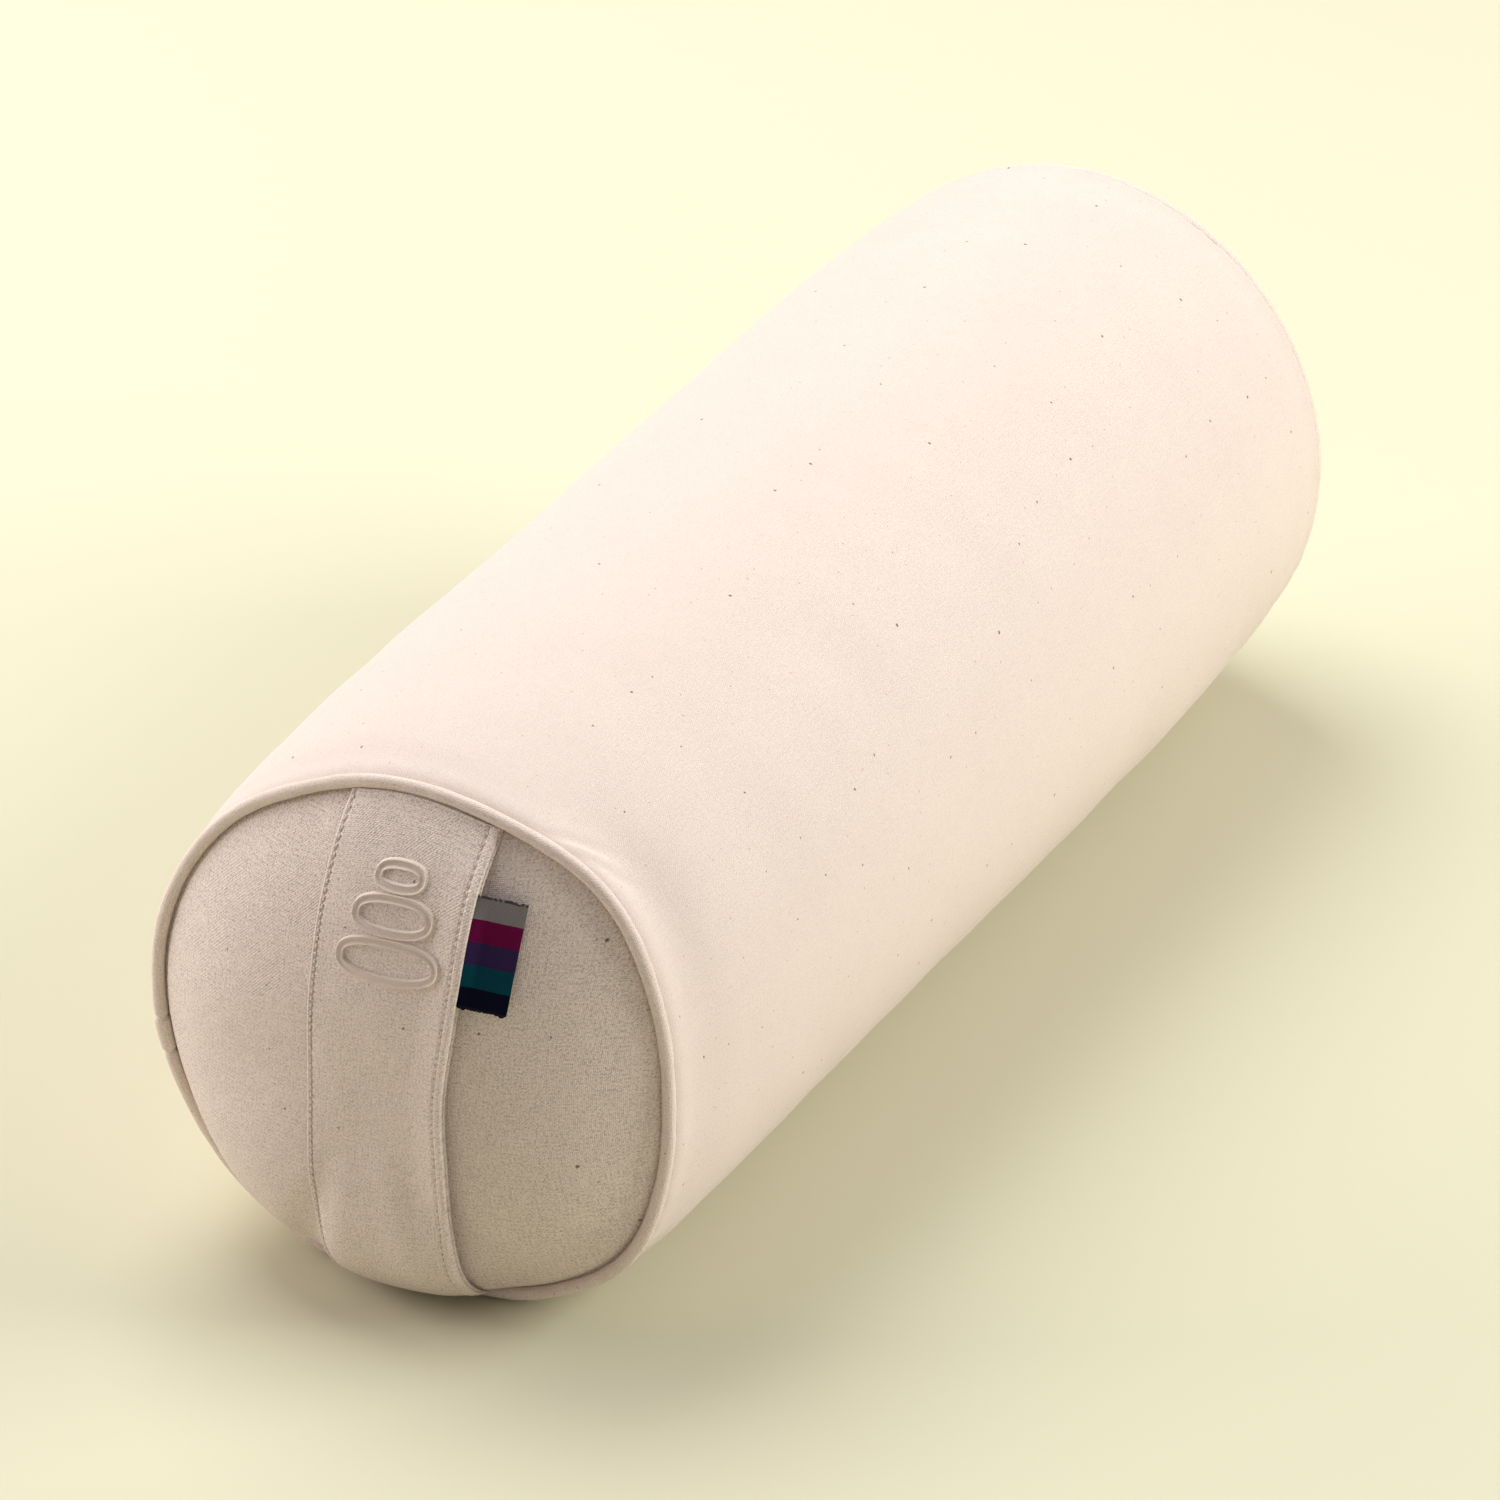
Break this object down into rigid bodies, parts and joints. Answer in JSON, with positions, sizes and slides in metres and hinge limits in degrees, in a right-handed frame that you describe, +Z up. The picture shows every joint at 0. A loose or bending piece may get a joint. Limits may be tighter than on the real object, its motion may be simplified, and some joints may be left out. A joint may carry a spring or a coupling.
{
  "type": "bolster pillow",
  "caption": "Cylindrical massage and yoga bolster with a zipped, piped cotton cover, a flat end handle with a side label, and a packed inner liner.",
  "frame": {"origin": "on the floor, in the middle of the flat that the roll rests on, under the middle of its length", "axes": "+Y along the roll from its handle end to its plain end, +Z up, the zip on the -X side"},
  "size_m": [0.2354, 0.6468, 0.2165],
  "materials": {
    "canvas": "matte",
    "piping_canvas": "matte",
    "piping_cord": "matte",
    "embroidery_thread": "satin",
    "sewing_thread": "satin",
    "woven_label": "matte",
    "zip_tape": "matte",
    "zip_coil": "satin",
    "zip_metal": "satin",
    "ticking": "matte",
    "hull_filling": "matte"
  },
  "bodies": {
    "cover": {"cover_tube": "canvas", "front_end_panel": "canvas", "rear_end_panel": "canvas", "front_piping": "piping_canvas", "front_piping_core": "piping_cord", "rear_piping": "piping_canvas", "rear_piping_core": "piping_cord", "handle_upper_leg": "canvas", "handle_upper_leg_lining": "canvas", "handle_lower_leg": "canvas", "handle_lower_leg_lining": "canvas", "zip_tape_upper": "zip_tape", "zip_tape_lower": "zip_tape", "zip_coil_upper": "zip_coil", "zip_coil_lower": "zip_coil", "zip_top_stops": "zip_metal", "zip_bottom_stop": "zip_metal", "liner_tube": "ticking", "liner_front_end": "ticking", "liner_rear_end": "ticking", "filling": "hull_filling"},
    "handle": {"handle_grip": "canvas", "handle_grip_lining": "canvas", "handle_motif": "embroidery_thread", "handle_stitching": "sewing_thread"},
    "side_label": {"side_label": "woven_label"},
    "zip_slider": {"zip_slider": "zip_metal"},
    "zip_pull": {"zip_pull": "zip_metal"}
  },
  "joints": [
    {"name": "handle_lift", "type": "slide", "parent": "cover", "child": "handle", "axis": [0, -1, 0], "range_m": [0, 0.012], "deforming": ["handle_upper_leg", "handle_upper_leg_lining", "handle_lower_leg", "handle_lower_leg_lining"]},
    {"name": "label_flip", "type": "hinge", "parent": "handle", "child": "side_label", "pos_m": [0.0373, -0.32398, 0.1435], "axis": [0, -0.357, -0.9341], "range_deg": [0, 140]},
    {"name": "zip_slide", "type": "slide", "parent": "cover", "child": "zip_slider", "axis": [0, 1, 0], "range_m": [0, 0.338]},
    {"name": "zip_pull_hinge", "type": "hinge", "parent": "zip_slider", "child": "zip_pull", "pos_m": [-0.11845, -0.1701, 0.1015], "axis": [0, 0, 1], "range_deg": [0, 175]}
  ]
}
